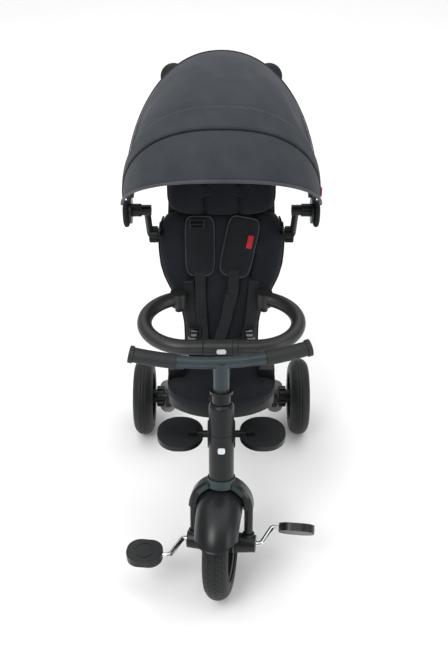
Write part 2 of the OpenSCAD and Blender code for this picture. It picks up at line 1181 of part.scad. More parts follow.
module handle_loop() {
    leg_r = loop_r - 0.1;
    leg_dir = [sin(loop_side_a), 0, cos(loop_side_a)];
    color("#1b1e20")
        on_handle() {
            translate([0, 0, loop_foot_s - 25])
                cylinder(h = 64, r = 20);
            both_sides() {
                rod([0, 0, loop_foot_s] + 8 * leg_dir,
                    [loop_side_x, 0, loop_side_s] + overlap * leg_dir, leg_r);
                translate([loop_corner_x, 0, loop_corner_s])
                    rotate([90, 0, 0])
                        ring_arc(loop_corner_r, loop_r, -loop_side_a, 90 + loop_dip_a);
            }
            translate([0, 0, loop_top_s])
                rotate([90, 0, 0])
                    ring_arc(loop_top_r, leg_r, -90 - loop_dip_a - 0.1, -90 + loop_dip_a + 0.1);
        }
}

module handle_button() {
    color("#8a8e90")
        on_handle()
            translate([-7.6, 20, 492.4])
                cube([15.2, 8, 15.2]);
}

main_tube();
rear_beam();
rear_axle();
axle_sleeves();
head_housing();
head_bearings();
seat_post();
handle_socket();
handle_outer_tube();
fork();
crown_band();
steerer_tube();
mudguard();
fork_end_covers();
front_tyre();
front_rim();
crankshaft();
pedal_left();
pedal_right();
handlebar_tube();
handlebar_stem();
stem_sleeve();
grip_left();
grip_right();
steering_button();
rear_tyre_left();
rear_rim_left();
hub_knob_left();
rear_tyre_right();
rear_rim_right();
hub_knob_right();
brake_pedal_left();
brake_pedal_right();
footrest_left();
footrest_right();
swivel_plate();
seat_shell();
seat_pad();
crotch_strap();
buckle();
buckle_button();
swivel_lever();
bumper_brackets();
backrest_shell();
back_pad();
headrest_pad();
shoulder_pads();
shoulder_straps();
bumper_left();
bumper_right();
bumper_button();
canopy_links();
rear_bow();
canopy_rear();
front_bow();
canopy_front();
handle_inner_tube();
handle_loop();
handle_button();
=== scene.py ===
# %% [markdown]
# # A children's push tricycle
# A parent pushes this tricycle by a tall handle, and the child sits under a fabric
# canopy on a padded seat that turns on a post. The frame, wheels and joints come ready
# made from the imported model. This lesson adds the looks: cloth, cushions, webbing,
# rubber tread, moulded covers, and a finish for every surface.
# Everything is in metres, +Z is up, and the front wheel points to -Y.

# %% Load the frame
import json

import bmesh
import bpy
import numpy as np
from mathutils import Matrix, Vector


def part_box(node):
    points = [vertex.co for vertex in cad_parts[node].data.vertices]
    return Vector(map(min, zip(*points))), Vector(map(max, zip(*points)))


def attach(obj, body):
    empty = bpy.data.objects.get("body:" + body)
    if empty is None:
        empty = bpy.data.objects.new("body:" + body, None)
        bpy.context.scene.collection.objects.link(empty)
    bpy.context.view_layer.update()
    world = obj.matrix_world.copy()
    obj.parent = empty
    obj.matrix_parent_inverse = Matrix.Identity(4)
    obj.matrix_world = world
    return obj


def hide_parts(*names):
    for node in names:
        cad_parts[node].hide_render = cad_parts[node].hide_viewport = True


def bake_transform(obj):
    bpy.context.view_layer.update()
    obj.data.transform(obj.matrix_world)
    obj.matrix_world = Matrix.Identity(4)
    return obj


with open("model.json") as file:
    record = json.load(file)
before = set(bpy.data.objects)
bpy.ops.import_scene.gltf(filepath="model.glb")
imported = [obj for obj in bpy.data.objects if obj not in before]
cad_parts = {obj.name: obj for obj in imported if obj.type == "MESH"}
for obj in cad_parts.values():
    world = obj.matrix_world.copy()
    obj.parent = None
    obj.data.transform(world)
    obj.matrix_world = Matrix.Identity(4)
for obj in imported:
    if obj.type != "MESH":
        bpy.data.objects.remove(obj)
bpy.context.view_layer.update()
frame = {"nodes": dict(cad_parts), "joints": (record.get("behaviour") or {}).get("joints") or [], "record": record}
nodes = frame["nodes"]
joints = {j["name"]: j for j in frame["joints"]}
MM = 0.001
print("nodes:", len(nodes), "joints:", len(joints))

# %% [markdown]
# ## The camera
# The tricycle is seen from the front and above, at about the height of an adult's eyes.
# A camera can be aimed with a Track To constraint, but a plain pitch angle is steadier:
# the view direction then doesn't move when the object changes.

# %% Camera
camera = bpy.data.objects.new("camera", bpy.data.cameras.new("camera"))
bpy.context.scene.collection.objects.link(camera)
bpy.context.scene.camera = camera
camera_pitch = 35.116
camera.location = (0, -1.7343, 1.6897)
camera.rotation_euler = (np.radians(90 - camera_pitch), 0, 0)
camera.data.sensor_width = 36
camera.data.lens = 50.32
camera.data.shift_x = 0.0039

# %% [markdown]
# ## Studio
# A wide ceiling light keeps the pale floor bright, as in a product studio. A key and a
# fill in front are smaller, so dark plastic stays dark and gets one clear highlight.

# %% Floor and lights
floor_mesh = bpy.data.meshes.new("floor")
floor_half = 12
floor_mesh.from_pydata(
    [(-floor_half, -floor_half, -0.0005), (floor_half, -floor_half, -0.0005),
     (floor_half, floor_half, -0.0005), (-floor_half, floor_half, -0.0005)],
    [], [(0, 1, 2, 3)])
floor = bpy.data.objects.new("floor", floor_mesh)
bpy.context.scene.collection.objects.link(floor)

world = bpy.data.worlds.new("studio")
bpy.context.scene.world = world
world.use_nodes = True
world.node_tree.nodes["Background"].inputs["Color"].default_value = (1, 1, 1, 1)
world.node_tree.nodes["Background"].inputs["Strength"].default_value = 0.42
bpy.context.scene.view_settings.view_transform = "Standard"


def soft_light(name, place, target, size, watts):
    """A square area light of that size at place, turned to face target."""
    lamp = bpy.data.lights.new(name, "AREA")
    lamp.shape = "SQUARE"
    lamp.size = size
    lamp.energy = watts
    lit = bpy.data.objects.new(name, lamp)
    bpy.context.scene.collection.objects.link(lit)
    lit.location = place
    aim = np.array(target) - np.array(place)
    flat = np.hypot(aim[0], aim[1])
    lit.rotation_euler = (np.arctan2(flat, -aim[2]), 0, np.arctan2(aim[1], aim[0]) - np.pi / 2)


soft_light("ceiling", (0, 2.0, 5.0), (0, 2.0, 0), 9.0, 330)
soft_light("key", (-1.2, -1.9, 2.6), (0, 0, 0.5), 1.2, 40)
soft_light("fill", (2.4, -1.4, 1.2), (0, 0, 0.5), 1.0, 12)

# %% [markdown]
# ## Helpers for shaders
# A hex colour is what a paint chart gives, but shaders work in linear light, so one
# function turns one into the other. A second function adds a node, sets its values
# and links its inputs.

# %% Colour and node helpers
def linear(code):
    """sRGB hex to linear light: ((c + 0.055) / 1.055) to the power 2.4, or c / 12.92 when dark."""
    c = np.array([int(code[i:i + 2], 16) for i in (1, 3, 5)]) / 255
    return (*np.where(c <= 0.04045, c / 12.92, ((c + 0.055) / 1.055) ** 2.4), 1.0)


def add(tree, kind, links=None, **settings):
    """Adds one shader node. settings are its properties; links gives its inputs, as values or sockets."""
    node = tree.nodes.new("ShaderNode" + kind)
    for key, value in settings.items():
        setattr(node, key, value)
    for key, value in (links or {}).items():
        if isinstance(value, bpy.types.NodeSocket):
            tree.links.new(value, node.inputs[key])
        else:
            node.inputs[key].default_value = value
    return node


def start_material(name, **values):
    """A new material with a Principled shader, its values set on its own sockets."""
    made = bpy.data.materials.new(name)
    made.use_nodes = True
    tree = made.node_tree
    tree.nodes.clear()
    shader = add(tree, "BsdfPrincipled", values)
    add(tree, "OutputMaterial", {"Surface": shader.outputs[0]})
    where = add(tree, "TexCoord")
    return made, tree, shader, where


def tint(tree, shader, factor, dark, light):
    """The base colour runs from dark to light as factor goes from 0 to 1."""
    mixed = add(tree, "Mix", {0: factor, 6: linear(dark), 7: linear(light)}, data_type="RGBA")
    tree.links.new(mixed.outputs[2], shader.inputs["Base Color"])


def bump(tree, shader, height, depth):
    """Raises the surface by height times depth, in metres."""
    node = add(tree, "Bump", {"Height": height, "Distance": depth})
    tree.links.new(node.outputs[0], shader.inputs["Normal"])


# %% [markdown]
# ## Moulded plastic and paint
# Polypropylene covers are moulded against spark-eroded steel, which leaves a fine even
# grain, so they look satin with a soft bright edge. Powder coat is baked on as dust and
# flows into a very fine orange peel. Both are a noise of the right grain size.

# %% Moulded plastic, powder coat and rubber
def grained(name, dark, light, grain_mm, depth_mm, rough, rough_swing=0.06, **values):
    """A moulded or baked finish: fine grain, broad tone changes and a slightly uneven gloss."""
    made, tree, shader, where = start_material(name, **values)
    grain = add(tree, "TexNoise", {"Vector": where.outputs["Object"], "Scale": 1000 / grain_mm,
                                   "Detail": 3.0})
    broad = add(tree, "TexNoise", {"Vector": where.outputs["Object"], "Scale": 14.0, "Detail": 4.0})
    tint(tree, shader, broad.outputs[0], dark, light)
    gloss = add(tree, "MapRange", {0: broad.outputs[0], 1: 0.3, 2: 0.7, 3: rough - rough_swing,
                                   4: rough + rough_swing})
    tree.links.new(gloss.outputs[0], shader.inputs["Roughness"])
    bump(tree, shader, grain.outputs[0], depth_mm * MM)
    return made


# Dark plastic and rubber reflect a little less than clear lacquer does
dark_gloss = {"Specular IOR Level": 0.34}
# Polypropylene with a fine spark-eroded texture: satin black, softly bright at edges
black_plastic = grained("moulded_polypropylene_black", "#0C0E0F", "#15181A", 1.6, 0.10, 0.36, **dark_gloss)
# Nylon with a smoother texture for the head housing and mudguard: deeper, glossier black
smooth_plastic = grained("moulded_nylon_black", "#0F1112", "#191C1E", 1.1, 0.03, 0.33, **dark_gloss)
# Powder coat on steel: black with a fine orange peel
black_paint = grained("powder_coat_black", "#0D0F10", "#17191B", 1.4, 0.04, 0.28, **dark_gloss)
# Metallic lacquer on the bar and stem: a grey-green gunmetal with soft reflections
gunmetal = grained("lacquer_gunmetal", "#333D3F", "#414B4E", 1.2, 0.015, 0.36,
                   Metallic=0.35, **dark_gloss)
# Light grey brake pedals in satin ABS
grey_plastic = grained("moulded_abs_grey", "#8E908E", "#A6A8A5", 1.6, 0.05, 0.45)
# Push buttons in gloss ABS
white_plastic = grained("moulded_abs_white", "#CDD2D8", "#E2E6EA", 2.0, 0.01, 0.28)
# Natural rubber: dull, with dust in broad patches
tyre_rubber = grained("vulcanised_rubber", "#0E1011", "#191B1C", 2.4, 0.20, 0.55, **dark_gloss)
# Foam rubber on the push handle
foam_rubber = grained("foam_rubber", "#131516", "#1D2021", 2.2, 0.25, 0.70, **dark_gloss)
# Thermoplastic rubber grips
grip_rubber = grained("thermoplastic_rubber", "#1D2021", "#2A2D2E", 2.4, 0.60, 0.52, **dark_gloss)

# %% [markdown]
# ## Bright metal
# The crank rod is steel with polished chrome plating: almost a mirror. The axle and
# bearings are plain turned steel, so they are duller and show a fine grain.

# %% Chrome and steel
chrome, tree, shader, where = start_material("chrome_plate", **{"Metallic": 1.0})
smear = add(tree, "TexNoise", {"Vector": where.outputs["Object"], "Scale": 60.0, "Detail": 3.0})
tint(tree, shader, smear.outputs[0], "#B9BCBE", "#E4E6E8")
gloss = add(tree, "MapRange", {0: smear.outputs[0], 1: 0.3, 2: 0.7, 3: 0.05, 4: 0.16})
tree.links.new(gloss.outputs[0], shader.inputs["Roughness"])

steel = grained("turned_steel", "#8A8D90", "#A7AAAD", 1.0, 0.02, 0.32, Metallic=1.0)

# %% [markdown]
# ## Cloth
# The canopy is a solution-dyed polyester canvas: a plain weave of matt threads that
# looks slightly lighter where light grazes it. The seat cover is a denser, darker twill.
# Real threads are 0.5 mm apart, too fine to show here, so the ridges are drawn coarser:
# a band texture repeats every 2 pi / 20 of its unit, which puts the canvas's 9 mm apart.

# %% Woven cloth
band_rate = 20  # radians of a band texture in one unit of its scaled coordinate


def woven(name, dark, light, radian_mm, depth_mm, rough, sheen):
    """A plain weave on the piece's UV map: two sets of ridges, at right angles, plus a soft mottle.
    radian_mm is one radian of the ridges' wave, so they lie 2 pi times as far apart."""
    made, tree, shader, where = start_material(name, **{
        "Roughness": rough, "Sheen Weight": sheen, "Sheen Roughness": 0.5,
        "Specular IOR Level": 0.25})
    ridges = [add(tree, "TexWave", {"Vector": where.outputs["UV"],
                                    "Scale": 1000 / radian_mm / band_rate, "Distortion": 0.6,
                                    "Detail": 2.0, "Detail Scale": 3.0},
                  wave_type="BANDS", bands_direction=way) for way in ("X", "Y")]
    weave = add(tree, "Math", {0: ridges[0].outputs[1], 1: ridges[1].outputs[1]}, operation="MULTIPLY")
    mottle = add(tree, "TexNoise", {"Vector": where.outputs["Object"], "Scale": 22.0, "Detail": 6.0})
    speck = add(tree, "TexNoise", {"Vector": where.outputs["Object"], "Scale": 900.0, "Detail": 2.0})
    both = add(tree, "Math", {0: mottle.outputs[0], 1: speck.outputs[0]}, operation="ADD")
    tone = add(tree, "MapRange", {0: both.outputs[0], 1: 0.7, 2: 1.3})
    tint(tree, shader, tone.outputs[0], dark, light)
    bump(tree, shader, weave.outputs[0], depth_mm * MM)
    return made


canopy_cloth = woven("polyester_canvas", "#2E3237", "#3A3E44", 1.5, 0.15, 0.85, 0.06)
seat_cloth = woven("polyester_twill", "#10141A", "#191E25", 1.5, 0.12, 0.82, 0.08)
lining_cloth = woven("polyester_lining", "#131519", "#1C1F24", 1.5, 0.10, 0.85, 0.06)
webbing_cloth = woven("polypropylene_webbing", "#15181C", "#212529", 2.0, 0.35, 0.58, 0.06)
piping_cloth = woven("reflective_piping", "#2E3338", "#454A50", 1.2, 0.10, 0.50, 0.1)
binding_cloth = woven("canvas_binding", "#363A40", "#464A51", 1.2, 0.15, 0.75, 0.12)
tag_cloth = woven("red_label_satin", "#B01F2A", "#D4303A", 1.0, 0.05, 0.5, 0.2)
grey_webbing = woven("grey_webbing", "#6A6E70", "#8A8E8F", 1.8, 0.25, 0.65, 0.1)

# %% [markdown]
# ## Leatherette
# The bumper bar is padded foam sewn into polyurethane leatherette, which has a pressed
# grain of small cells. A Voronoi pattern of 1.8 mm cells gives the grain its edges.

# %% Leatherette
leatherette, tree, shader, where = start_material("polyurethane_leatherette", **{"Roughness": 0.42})
cells = add(tree, "TexVoronoi", {"Vector": where.outputs["Object"], "Scale": 1000 / 1.8},
            feature="SMOOTH_F1")
broad = add(tree, "TexNoise", {"Vector": where.outputs["Object"], "Scale": 18.0, "Detail": 5.0})
tint(tree, shader, broad.outputs[0], "#1A1B1B", "#2B2C2B")
bump(tree, shader, cells.outputs[0], 0.12 * MM)

# %% [markdown]
# ## The floor's finish
# A studio floor is matt paint, nearly white, with a cloudy tone too faint to notice.

# %% Floor finish
floor_paint, tree, shader, where = start_material("floor_paint", **{"Roughness": 0.9})
cloud = add(tree, "TexNoise", {"Vector": where.outputs["Object"], "Scale": 2.0})
tint(tree, shader, cloud.outputs[0], "#F9F9F9", "#FCFCFC")
floor.data.materials.append(floor_paint)

# %% [markdown]
# ## Finishes for the frame's own nodes
# The record names a material slot for each node, so one table from slot to finish
# covers every node. A few nodes then get a finish of their own.

# %% Dress the nodes
finish_of_slot = {
    "black_paint": black_paint, "grey_paint": black_paint, "gunmetal_paint": gunmetal,
    "steel": steel, "chrome": chrome, "black_plastic": black_plastic,
    "grip_rubber": grip_rubber, "tyre_rubber": tyre_rubber, "grey_plastic": grey_plastic,
    "white_plastic": white_plastic, "bumper_cover": leatherette, "seat_fabric": seat_cloth,
    "webbing": webbing_cloth, "canopy_fabric": canopy_cloth}
slot_of_node = {s["node"]: s["material_slot"] for s in frame["record"]["subparts"]}
own_finish = {"head_housing": smooth_plastic, "mudguard": smooth_plastic,
              "handle_loop": foam_rubber, "handle_button": grey_plastic}


def dress(name, finish):
    """Gives a node its finish in every material slot."""
    mesh = nodes[name].data
    if not mesh.materials:
        mesh.materials.append(finish)
    for i in range(len(mesh.materials)):
        mesh.materials[i] = finish


for name in sorted(nodes):
    dress(name, own_finish.get(name, finish_of_slot[slot_of_node[name]]))

# %% [markdown]
# ## Helpers for shapes
# Every new piece is a grid of points: rows run one way over the surface, columns the
# other. One function turns such a grid into a mesh, and its UV map holds real distances
# in metres along both ways, so that a weave keeps its size on every piece.

# %% Grid to mesh
def run_length(points, axis):
    """Distance along one way of the grid, from its first line, averaged over the other way."""
    step = np.linalg.norm(np.diff(points, axis=axis), axis=2).mean(axis=1 - axis)
    return np.concatenate([[0], np.cumsum(step)])


def piece(name, points, finish, body, close_rows=False, close_cols=False, cap=False, thick=0.0,
          closed=None):
    """A piece from a grid of points. A closed way joins its last line to its first; cap fills both ends
    of a tube with a fan; thick gives an open sheet its wall, inwards."""
    rows, cols, _ = points.shape
    index = np.arange(rows * cols).reshape(rows, cols)
    verts = points.reshape(-1, 3)
    along = np.repeat(run_length(points, 0)[:, None], cols, 1).ravel()
    across = np.repeat(run_length(points, 1)[None, :], rows, 0).ravel()
    if close_rows:
        index = np.vstack([index, index[:1]])
    if close_cols:
        index = np.hstack([index, index[:, :1]])
    faces = np.stack([index[:-1, :-1], index[1:, :-1], index[1:, 1:], index[:-1, 1:]], -1).reshape(-1, 4)
    faces = faces.tolist()
    if cap:
        for ring, line in ((index[0], 0), (index[-1], rows - 1)):
            centre = len(verts)
            verts = np.vstack([verts, points[line].mean(axis=0)])
            along = np.append(along, along[line * cols])
            across = np.append(across, across.mean())
            faces += np.stack([ring[:-1], ring[1:], np.full(len(ring) - 1, centre)], -1).tolist()
    mesh = bpy.data.meshes.new(name)
    mesh.from_pydata(verts.tolist(), [], faces)
    corner = np.zeros(len(mesh.loops), np.int32)
    mesh.loops.foreach_get("vertex_index", corner)
    mesh.uv_layers.new(name="metres").data.foreach_set(
        "uv", np.stack([across[corner], along[corner]], -1).ravel())
    if closed if closed is not None else (cap or (close_rows and close_cols)):
        work = bmesh.new()
        work.from_mesh(mesh)
        bmesh.ops.remove_doubles(work, verts=work.verts, dist=1e-6)
        bmesh.ops.recalc_face_normals(work, faces=work.faces)
        work.to_mesh(mesh)
        work.free()
    mesh.shade_smooth()
    made = bpy.data.objects.new(name, mesh)
    bpy.context.scene.collection.objects.link(made)
    mesh.materials.append(finish)
    if thick:
        wall = made.modifiers.new("wall", "SOLIDIFY")
        wall.thickness = thick
        wall.offset = -1
    if body:
        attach(made, body)
    return made


# %% [markdown]
# ## Local frames
# The fork, the backrest and the other tilted assemblies each have a frame of their own,
# with its origin on a joint. The fork's and the front wheel's angles come from the joints'
# axes, so nothing is measured twice; the backrest's lean is given.

# %% Frames taken from the joints
def turn_x(degrees):
    """Rotation about X: y and z turn, x stays."""
    c, s = np.cos(np.radians(degrees)), np.sin(np.radians(degrees))
    return np.array([[1, 0, 0], [0, c, -s], [0, s, c]])


def turn_z(degrees):
    """Rotation about Z: x and y turn, z stays."""
    c, s = np.cos(np.radians(degrees)), np.sin(np.radians(degrees))
    return np.array([[c, -s, 0], [s, c, 0], [0, 0, 1]])


hub = np.array(joints["fork_steer"]["pos_m"])
rake = np.degrees(np.arcsin(joints["fork_steer"]["axis"][1]))
fork_turn = np.degrees(np.arcsin(joints["front_wheel_spin"]["axis"][1] / np.cos(np.radians(rake))))
back_at = np.array(joints["backrest_recline"]["pos_m"])
back_lean = 9.0
fork_frame = (turn_x(-rake) @ turn_z(fork_turn), hub)
head_frame = (turn_x(-rake), hub)
wheel_frame = (turn_x(-rake) @ turn_z(fork_turn) @ turn_x(rake), hub)
back_frame = (turn_x(-back_lean), back_at)
print("rake", round(rake, 2), "fork turn", round(fork_turn, 2))


def put(points, where):
    """Local points to the tricycle's frame: turn them, then move them."""
    turn, at = where
    return np.asarray(points) @ turn.T + at


# %% [markdown]
# ## Sweeps and pillows
# A strap, a piping or a tube is a small outline carried along a path. A pillow is a
# superellipsoid: its outline and its edge each have a power, from round to nearly square.

# %% Sweep, outlines and pillow
def signed_power(value, power):
    """The value's size raised to a power, with its sign kept."""
    return np.sign(value) * np.abs(value) ** power


def ring(half_w, half_t, power=1.0, sides=16):
    """A closed outline: an ellipse at power 1, and nearly a rectangle as power falls to 0.2."""
    a = np.linspace(0, 2 * np.pi, sides, endpoint=False) + np.pi / sides
    return np.stack([half_w * signed_power(np.cos(a), power), half_t * signed_power(np.sin(a), power)], -1)


def sweep(path, outline, up=(0, 0, 1), closed=False):
    """The outline carried along the path: its first coordinate goes along tangent x up, its second along
    the direction at right angles to both that and the tangent."""
    path = np.asarray(path, float)
    if closed:
        tangent = np.roll(path, -1, 0) - np.roll(path, 1, 0)
    else:
        tangent = np.gradient(path, axis=0)
    tangent /= np.linalg.norm(tangent, axis=1, keepdims=True)
    side = np.cross(tangent, np.broadcast_to(up, path.shape))
    side /= np.linalg.norm(side, axis=1, keepdims=True)
    lift = np.cross(side, tangent)
    return path[:, None] + outline[None, :, :1] * side[:, None] + outline[None, :, 1:] * lift[:, None]


def swept(name, path, outline, finish, body, up=(0, 0, 1), closed=False):
    """A closed bar, strap or piping along a path."""
    grid = sweep(path, outline, up, closed)
    return piece(name, grid, finish, body, close_rows=closed, close_cols=True, cap=not closed)


def pillow_grid(half_x, half_y, half_z, outline_power, edge_power, rows=28, cols=72):
    """A superellipsoid that lies across Y: rows run from its front pole to its back pole, and columns
    round its outline in X and Z."""
    a = np.linspace(-np.pi / 2, np.pi / 2, rows)[:, None]
    b = np.linspace(0, 2 * np.pi, cols, endpoint=False)[None, :]
    reach = signed_power(np.cos(a), edge_power)
    x = half_x * reach * signed_power(np.cos(b), outline_power)
    z = half_z * reach * signed_power(np.sin(b), outline_power)
    y = half_y * signed_power(np.sin(a), edge_power) + 0 * b
    return np.stack([x, y, z], -1)


def smooth_step(value, start, end):
    """0 before start, 1 after end, and a smooth rise between."""
    t = np.clip((value - start) / (end - start), 0, 1)
    return t * t * (3 - 2 * t)


def groove(distance, width):
    """A sewn channel: deepest at distance 0 and gone about two widths away."""
    return np.exp(-(distance / width) ** 2)


# %% [markdown]
# ## The canopy
# The real canopy is one fabric cover, stretched over a rear bow and a front bow, with a
# visor in front. It could be draped by simulation, but a stretched cover is held so
# tightly by its bows that a computed sheet is closer and always the same. Each line
# across is a bow's outline, |x / w| to the power n plus |h / r| to the power n = 1, and
# each line along turns about the pivots. The power n grows from back to front, because
# the front bow is squarer. Between the bows the cloth pulls inwards.

# %% Canopy cloth
pivot = np.array(joints["canopy_fold"]["pos_m"]) * [0, 1, 1]
canopy_half_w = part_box("canopy_rear")[1].x
canopy_bow_r = 0.340
rear_edge, ridge, front_bow, front_edge = -22.5, 27.5, 36.0, 53.5


def canopy_at(angle, across, rise=0.0):
    """A point on the canopy: angle forward of vertical, across from -90 to 90 degrees, raised by rise.
    The outline's power grows from the round rear bow to the squarer front bow."""
    s = np.sin(np.radians(across))
    bow_power = 2.12 + 0.28 * smooth_step(angle, rear_edge, ridge) + 0 * across
    height = np.maximum(1 - np.abs(s) ** bow_power, 0) ** (1 / bow_power)
    h = (canopy_bow_r + rise) * height
    a = np.radians(angle)
    x = (canopy_half_w + rise) * s + 0 * a
    return np.stack([x, pivot[1] - h * np.sin(a), pivot[2] + h * np.cos(a)], -1)


angles = np.linspace(rear_edge, front_edge, 153)[:, None]
rear_across, visor_across = 86, 81
last_across = rear_across + (visor_across - rear_across) * smooth_step(angles, front_bow, front_edge)
across = last_across * np.linspace(-1, 1, 201)[None, :]
between = np.clip((angles - rear_edge) / (ridge - rear_edge), 0, 1)
side = np.abs(across) / rear_across
pull_in = -np.sin(np.pi * between) ** 1.5 * (0.006 + 0.013 * smooth_step(side, 0.35, 0.8))
near_ridge = np.sin(np.pi * between ** 1.8) ** 2
folds = (0.0018 * np.sin(across * 0.13 + 3.5 * between + 0.6) * np.sin(np.pi * between) ** 2
         + 0.0026 * np.sin(across * 0.23 - 6 * between + 1) * np.sin(across * 0.071 + 2) * near_ridge
         + 0.0020 * np.sin(13 * between + across * 0.05) * side ** 2 * np.sin(np.pi * between))
sleeve = 0.0024 * smooth_step(angles, ridge - 0.5, ridge + 0.3) * (1 - smooth_step(angles, 35.4, 35.9))
seam = -0.0022 * groove(angles - front_bow, 0.45)
visor = 0.0035 * np.sin(np.pi * np.clip((angles - front_bow) / (front_edge - front_bow), 0, 1)) * (1 - side)
canopy = piece("canopy_cover", canopy_at(angles, across, pull_in + folds + sleeve + seam + visor),
               canopy_cloth, None)
wall = canopy.modifiers.new("wall", "SOLIDIFY")
wall.thickness = 0.0016
wall.offset = -1
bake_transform(canopy)
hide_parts("canopy_rear", "canopy_front")

# %% [markdown]
# ## Canopy trim
# The front edge is rolled into a binding that looks lighter than the cover. A thin dark
# piping marks the front bow, and a band closes the rear edge.

# %% Binding, piping and rear band
edge = np.linspace(-85.5, 85.5, 150)
binding = swept("canopy_binding", canopy_at(front_edge, edge * visor_across / rear_across, 0.0012),
                ring(0.0028, 0.0034), binding_cloth, "canopy_front", up=(1, 0.02, 0.3))
bow_piping = swept("canopy_bow_piping", canopy_at(front_bow, edge, 0.0005), ring(0.0015, 0.0015),
                   lining_cloth, "canopy_front", up=(1, 0.02, 0.3))
rear_band = piece("canopy_rear_band",
                  canopy_at(np.linspace(rear_edge - 0.3, rear_edge + 3.2, 9)[:, None], edge[None, :], 0.0020),
                  binding_cloth, "canopy_rear", thick=0.0016)
edge_rod = canopy_at(rear_edge + 1.5, edge, -0.0075)
rear_rod = swept("rear_bow_rod", edge_rod, ring(0.0045, 0.0045), black_plastic, "canopy_rear",
                 up=(1, 0.02, 0.3))
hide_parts("rear_bow")

# %% [markdown]
# ## Knobs and flaps at the pivots
# Each pivot has a ribbed plastic knob on the inside, and outside it the cover ends in a
# soft rounded flap. The knob is an outline with ribs, swept a short way along the axle.

# %% Knobs and flaps
knob_turn = np.linspace(0, 2 * np.pi, 96, endpoint=False)
knob_ribs = 12
knob_r = 0.0140 + 0.0005 * np.sign(np.sin(knob_turn * knob_ribs))
knob_outline = np.stack([knob_r * np.cos(knob_turn), knob_r * np.sin(knob_turn)], -1)
knob_inner, knob_outer = 0.178, 0.204
flap_x, flap_back, flap_drop = 0.2115, 0.004, 0.007
flap = pillow_grid(0.0085, 0.020, 0.031, 0.7, 0.8, rows=24, cols=60)
for side_name, sign in (("left", -1), ("right", 1)):
    reach = np.linspace(knob_inner, knob_outer, 6)
    axle = np.stack([sign * reach, 0 * reach + pivot[1], 0 * reach + pivot[2]], -1)
    swept("canopy_knob_" + side_name, axle, knob_outline, black_plastic, "canopy_rear")
    piece("canopy_flap_" + side_name, flap + [sign * flap_x, pivot[1] - flap_back, pivot[2] - flap_drop],
          lining_cloth, "canopy_front", close_cols=True, closed=True)

# %% [markdown]
# ## The back cushion
# A foam slab in a sewn cover: narrow at the waist, wide at the shoulders, with a piped
# edge. Its half width at each height is a smooth curve through a few heights, and its
# face swells between the seams. A cloth simulation could blow it up like a bag; here the
# swell, dips and wrinkles are a formula, which gives the same cushion every time.

# %% Half width of the back at a height
def smooth_curve(at, places, values, blur=9):
    """Straight lines through the given values, then blurred along the way so that the corners go."""
    fine = np.linspace(places[0], places[-1], 241)
    line = np.interp(fine, places, values)
    padded = np.concatenate([np.full(blur, line[0]), line, np.full(blur, line[-1])])
    window = np.hanning(2 * blur + 1)
    line = np.convolve(padded, window / window.sum(), "valid")
    return np.interp(at, fine, line)


back_low, back_high = 0.020, 0.398


def back_half_w(h):
    """Waist at the bottom, widest at the shoulders, a little narrower under the headrest."""
    return smooth_curve(h, np.linspace(0, 0.42, 15), np.array(
        [88, 88, 88, 88, 89, 94, 106, 121, 134, 142, 145, 146, 144, 134, 114]) * MM, blur=6)


# %% Back cushion with its seams
h = np.linspace(back_low, back_high, 130)[:, None]
b = np.linspace(0, 2 * np.pi, 120, endpoint=False)[None, :]
ends = (1 - np.abs(2 * (h - back_low) / (back_high - back_low) - 1) ** 10) ** 0.5
half_w = back_half_w(h) * (0.90 + 0.10 * ends)
x = half_w * signed_power(np.cos(b), 0.42)
face = np.sin(b)
front_t = 0.024 * (0.55 + 0.45 * ends)
y = np.where(face > 0, -front_t * signed_power(np.abs(face), 0.38), 0.0015 * np.abs(face) ** 0.5)
panel_x = np.minimum(0.070, back_half_w(h) - 0.024)
on_front = smooth_step(face, 0.2, 0.6)
panel_seam = groove(np.abs(x) - panel_x, 0.0050) * smooth_step(h, 0.05, 0.09)
low_seam = groove(h - 0.075 - 0.025 * (x / 0.07) ** 2, 0.0050) * (np.abs(x) < panel_x + 0.004)
dips = 0.0080 * np.maximum(panel_seam, low_seam) * on_front
puckers = 0.0008 * np.sin(h * 420) * groove(np.abs(x) - panel_x, 0.012) * on_front
wing = np.clip((np.abs(x) - panel_x) / np.maximum(back_half_w(h) - panel_x, 0.01), 0, 1)
swell = (0.0060 * np.cos(np.clip(x / panel_x, -1, 1) * np.pi / 2) ** 0.6
         + 0.0050 * np.sin(np.pi * wing) ** 0.7 * (np.abs(x) > panel_x)) * on_front
wrinkle = (0.0012 * np.sin(h * 95 + 40 * x) * np.sin(h * 33)
           + 0.0010 * np.sin(h * 60 - 90 * np.abs(x)) * np.sin(h * 21 + 1)) * on_front
y = y + dips + puckers - swell + wrinkle
grid = np.stack([x + 0 * y, y, h + 0 * y], -1)
back_cushion = piece("back_cushion", put(grid, back_frame), seat_cloth, "backrest",
                     close_cols=True, cap=True)
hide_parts("back_pad")

# %% [markdown]
# ## Piping
# The two halves of a cushion's cover meet in a seam with a thin cord sewn in, which
# keeps the edge crisp. It is a round outline swept along the cushion's edge.

# %% Piping round the back cushion
rise = np.linspace(back_low + 0.004, back_high - 0.008, 110)
for side_name, sign in (("left", -1), ("right", 1)):
    line = np.stack([sign * (back_half_w(rise) + 0.0004), np.full_like(rise, -0.010), rise], -1)
    swept("back_piping_" + side_name, put(line, back_frame), ring(0.0024, 0.0024), lining_cloth,
          "backrest", up=(0, 1, 0.1))

# %% [markdown]
# ## The headrest
# A second, thicker cushion with two vertical channels, so it swells in three lobes.

